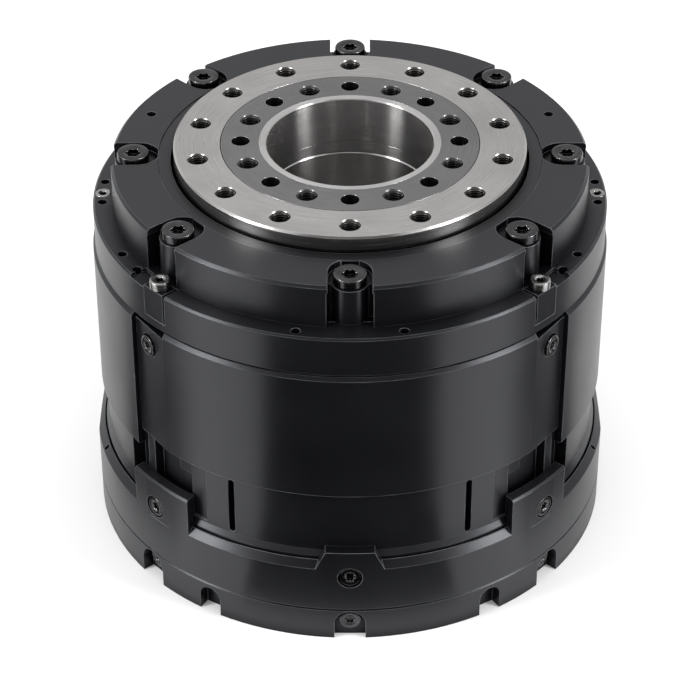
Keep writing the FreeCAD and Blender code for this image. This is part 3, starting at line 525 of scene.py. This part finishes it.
def opened_holes(node, cutter):
    # A copy of the CAD solid with the cutter taken out of it stands in for the solid
    mesh = bmesh.new()
    mesh.from_mesh(nodes[node].data)
    bmesh.ops.remove_doubles(mesh, verts=mesh.verts, dist=WELD)
    piece = new_piece(node + "_tapped", mesh, SLOT_MATERIALS[slot_of[node]])
    cut = piece.modifiers.new("cut", "BOOLEAN")
    cut.operation = "DIFFERENCE"
    cut.solver = "MANIFOLD"
    cut.object = cutter
    graph = bpy.context.evaluated_depsgraph_get()
    data = bpy.data.meshes.new_from_object(piece.evaluated_get(graph))
    piece.modifiers.clear()
    piece.data = data
    data.set_sharp_from_angle(angle=math.radians(TAPPED_SHARP_DEG))
    for face in data.polygons:
        face.use_smooth = abs(face.normal.z) < FLAT_Z
    bpy.data.objects.remove(cutter)
    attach(piece, body_of(node))
    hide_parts(node)


def mount_called(name):
    return next(mount for mount in record["mounts"] if mount["name"] == name)


OUTPUT_FACE_Z = mount_called("output_face")["pos_m"][2]
SEAM_STEPS = 180
ON_FACE = 0.02 * MM         # vertices this near the face lie on it


def seam_groove(tool):
    # V groove where the two faces meet: each solid loses its own half
    seam = max(off_axis(vert.co, Vector(), UP)
               for vert in nodes["output_hub"].data.vertices
               if abs(vert.co.z - OUTPUT_FACE_Z) < ON_FACE)
    half, top, bottom = 0.16 * MM, 0.04 * MM, -0.2 * MM
    corners = ((seam - half, top), (seam + half, top), (seam, bottom), (seam - half, top))
    turned_rows(tool, corners, SEAM_STEPS, Matrix.Translation((0, 0, OUTPUT_FACE_Z)))
    bmesh.ops.remove_doubles(tool, verts=tool.verts, dist=WELD)


def tapped_holes(mount_name, node, start_deg):
    sizes = mount_called(mount_name)["dims"]
    reach = sizes["pcd_mm"] / 2 * MM
    root = sizes["hole_r_mm"] * MM + THREAD_DEPTH
    rows = [(0, -THREAD_LENGTH), (root, -THREAD_LENGTH), (root, -MOUTH_CHAMFER),
            (root + MOUTH_CHAMFER + PAST_FACE, PAST_FACE), (0, PAST_FACE)]
    ridges = bmesh.new()
    tool = bmesh.new()
    for i in range(sizes["count"]):
        angle = math.radians(start_deg + 360.0 * i / sizes["count"])
        centre = Vector((reach * math.sin(angle), -reach * math.cos(angle), OUTPUT_FACE_Z))
        thread_ridge(ridges, centre, root, THREAD_LENGTH)
        turned_rows(tool, rows, ROUND_STEPS, Matrix.Translation(centre))
    seam_groove(tool)
    piece = new_piece(mount_name + "_threads", ridges, THREAD_STEEL)
    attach(piece, body_of(node))
    opened_holes(node, new_piece(node + "_tool", tool, THREAD_STEEL))


tapped_holes("output_bolts", "output_flange", 0.0)
tapped_holes("hub_bolts", "output_hub", 22.5)


# ---- stage: floor, world, flags that paint dark reflections, and lamps ----

BELT_SHADE = 0.55           # what the backdrop's dimmer belt shows
RIGHT_SHADE = 0.86          # what its right side shows
FLOOR_WHITE = 0.83
FLOOR_GLOW = 0.06
FLOOR_REACH = 6.0
UNDER_PART = 0.05 * MM      # how far the floor lies below the lowest point


def camera_sees(tree):
    # 1 where the picture, a mirror or glass looks straight at the background
    rays = put(tree, "LightPath").outputs
    seen = calc(tree, "ADD", rays["Is Camera Ray"], rays["Is Glossy Ray"])
    return calc(tree, "ADD", seen, rays["Is Transmission Ray"], clamp=True)


def pale_world():
    # The backdrop has a dimmer belt about 25 degrees up and darkens to the right
    world = bpy.data.worlds.new("studio")
    world.use_nodes = True
    tree = world.node_tree
    tree.nodes.clear()
    way = put(tree, "SeparateXYZ", {0: put(tree, "TexCoord").outputs["Generated"]}).outputs
    above = spread_out(tree, way[2], 0.43, 0.58, BELT_SHADE, 1.0)
    below = spread_out(tree, way[2], 0.24, 0.42, 1.0, BELT_SHADE)
    climb = calc(tree, "MAXIMUM", above, below)
    across = spread_out(tree, way[0], -0.1, 0.16, 1.0, RIGHT_SHADE)
    strength = calc(tree, "MULTIPLY", climb, across)
    shown = put(tree, "Background", {"Color": (1, 1, 1, 1), "Strength": strength})
    fill = put(tree, "Background", {"Color": (1, 1, 1, 1), "Strength": 1.0})
    mixed = put(tree, "MixShader", {0: camera_sees(tree), 1: fill.outputs[0],
                                    2: shown.outputs[0]})
    put(tree, "OutputWorld", {"Surface": mixed.outputs[0]})
    bpy.context.scene.world = world


def pale_floor():
    material = new_material("floor_paper")
    tree = material.node_tree
    lit = put(tree, "BsdfDiffuse", {"Color": (FLOOR_WHITE, FLOOR_WHITE, FLOOR_WHITE, 1)})
    strength = calc(tree, "MULTIPLY", camera_sees(tree), FLOOR_GLOW)
    glow = put(tree, "Emission", {"Color": (1, 1, 1, 1), "Strength": strength})
    both = put(tree, "AddShader", {0: lit.outputs[0], 1: glow.outputs[0]})
    finish_shader(tree, both)
    low = cad_box[0][2] - UNDER_PART
    mesh = bmesh.new()
    mesh.faces.new([mesh.verts.new((x * FLOOR_REACH, y * FLOOR_REACH, low))
                    for x, y in ((-1, -1), (1, -1), (1, 1), (-1, 1))])
    new_piece("floor", mesh, material)


def round_spot(azimuth, distance, height):
    angle = math.radians(azimuth)
    return Vector((distance * math.sin(angle), -distance * math.cos(angle), height))


# Rows of distance, height and the two azimuths in degrees that a flag spans
LAID = 2 * MM
FRONT_FLAG = ((0.08, LAID, -27, 27), (0.14, LAID, -30, 30), (0.25, LAID, -34, 34),
              (0.9, LAID, -38, 38), (0.9, 0.08, -38, 38))
FRONT_CARD = ((0.9, 0.4, -38, 38), (0.9, 1.6, -38, 38))
SIDE_FLAG = ((0.09, LAID, 50, 82), (0.14, LAID, 60, 93), (0.25, LAID, 72, 100),
             (0.9, LAID, 80, 107), (0.9, 0.08, 80, 107))
# Colours of the painted dark reflections
FRONT_REFLECTION_DARK = 0.015
SIDE_REFLECTION_DARK = 0.08
FLAG_STEPS = 12


def painted_reflection_flag(name, side, rows, shade):
    # Painted dark reflection: a dark sheet that only reflections see, laid beside the object or
    # hung away from it
    material = new_material(name + "_cloth")
    tree = material.node_tree
    finish_shader(tree, put(tree, "BsdfDiffuse", {"Color": (shade, shade, shade, 1)}))
    mesh = bmesh.new()
    grid = []
    for distance, height, first, last in rows:
        turns = [side * (first + (last - first) * i / FLAG_STEPS)
                 for i in range(FLAG_STEPS + 1)]
        grid.append([mesh.verts.new(round_spot(turn, distance, height)) for turn in turns])
    for near, far in zip(grid, grid[1:]):
        for i in range(FLAG_STEPS):
            mesh.faces.new((near[i], near[i + 1], far[i + 1], far[i]))
    card = new_piece(name, mesh, material)
    card.visible_camera = False
    card.visible_shadow = False
    card.visible_diffuse = False
    card.visible_transmission = False


# Softboxes on both sides: degrees, metres and watts
SOFTBOX_AZIMUTH = 66
SOFTBOX_RISE = math.radians(25)
SOFTBOX_DISTANCE = 1.1
SOFTBOX_WIDTH = 0.3
SOFTBOX_HEIGHT = 0.8
SOFTBOX_WATTS = 10
AIM = Vector((0, 0, 0.06))


def softbox(name, azimuth):
    lamp = bpy.data.lights.new(name, "AREA")
    lamp.shape = "RECTANGLE"
    lamp.size = SOFTBOX_WIDTH
    lamp.size_y = SOFTBOX_HEIGHT
    lamp.energy = SOFTBOX_WATTS
    holder = bpy.data.objects.new(name, lamp)
    spot = round_spot(azimuth, SOFTBOX_DISTANCE * math.cos(SOFTBOX_RISE),
                      AIM.z + SOFTBOX_DISTANCE * math.sin(SOFTBOX_RISE))
    holder.location = spot
    holder.rotation_euler = (AIM - spot).to_track_quat("-Z", "Y").to_euler()
    holder.visible_camera = False
    bpy.context.scene.collection.objects.link(holder)


CAMERA_AT = (0, -0.59294, 0.46755)
CAMERA_DIP_DEG = 35.563
LENS_MM = 134.3
SENSOR_MM = 36.0


def studio_camera():
    lens = bpy.data.cameras.new("camera")
    lens.lens = LENS_MM
    lens.sensor_width = SENSOR_MM
    holder = bpy.data.objects.new("camera", lens)
    holder.location = CAMERA_AT
    holder.rotation_euler = (math.radians(90 - CAMERA_DIP_DEG), 0, 0)
    bpy.context.scene.collection.objects.link(holder)
    bpy.context.scene.camera = holder


pale_world()
pale_floor()
painted_reflection_flag("front_flag", 1, FRONT_FLAG, FRONT_REFLECTION_DARK)
painted_reflection_flag("front_card", 1, FRONT_CARD, FRONT_REFLECTION_DARK)
painted_reflection_flag("left_flag", -1, SIDE_FLAG, SIDE_REFLECTION_DARK)
painted_reflection_flag("right_flag", 1, SIDE_FLAG, SIDE_REFLECTION_DARK)
softbox("left_box", -SOFTBOX_AZIMUTH)
softbox("right_box", SOFTBOX_AZIMUTH)
studio_camera()
bpy.context.scene.view_settings.view_transform = "Standard"
